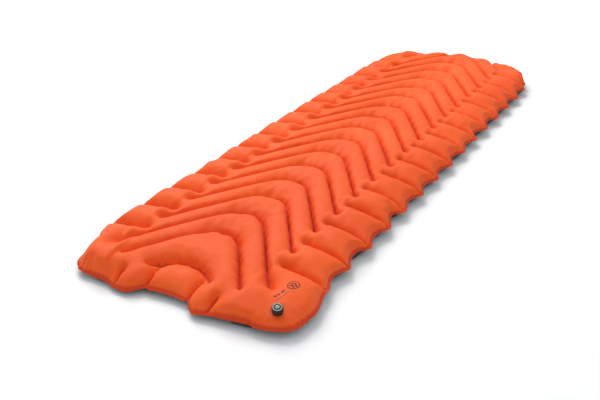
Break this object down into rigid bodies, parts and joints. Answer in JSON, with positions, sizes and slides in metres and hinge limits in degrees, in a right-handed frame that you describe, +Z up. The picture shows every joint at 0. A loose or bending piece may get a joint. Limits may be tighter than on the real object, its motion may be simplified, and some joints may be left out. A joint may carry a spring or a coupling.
{
  "type": "inflatable sleeping pad",
  "caption": "Air pad of two welded fabric shells with chevron chambers, side rails and a twist valve whose turning collar lifts a nozzle off its plug.",
  "frame": {"origin": "on the ground under the middle of the pad", "axes": "+X across the pad towards the valve's side, +Y along the pad away from the valve end, +Z up"},
  "size_m": [0.584, 1.83, 0.064],
  "materials": {
    "orange_fabric": "matt coated weave",
    "dark_fabric": "matt coated weave",
    "fibre": "loose lofted fibre",
    "flange_rubber": "satin",
    "black_nylon": "satin moulded",
    "nozzle_nylon": "satin moulded",
    "grey_nylon": "satin moulded",
    "silicone": "matt",
    "spring_steel": "bright"
  },
  "bodies": {
    "pad": {"top_shell": "orange_fabric", "bottom_shell": "dark_fabric", "insulation_strips": "fibre", "valve_flange": "flange_rubber", "valve_body": "black_nylon", "plug_post": "grey_nylon", "plug_cap": "grey_nylon", "plug_seal": "silicone", "nozzle_seal": "silicone", "snap_ring": "spring_steel"},
    "collar": {"twist_collar": "black_nylon"},
    "nozzle": {"nozzle": "nozzle_nylon"}
  },
  "joints": [
    {"name": "collar_twist", "type": "hinge", "parent": "pad", "child": "collar", "pos_m": [0.26, -0.872, 0.044], "axis": [0.171, -0.2962, 0.9397], "range_deg": [0, 90]},
    {"name": "nozzle_lift", "type": "slide", "parent": "pad", "child": "nozzle", "axis": [0.171, -0.2962, 0.9397], "range_m": [0, 0.004]}
  ],
  "couplings": [
    {"joint": "nozzle_lift", "follows": "collar_twist", "m_per_rad": 0.0025465}
  ]
}
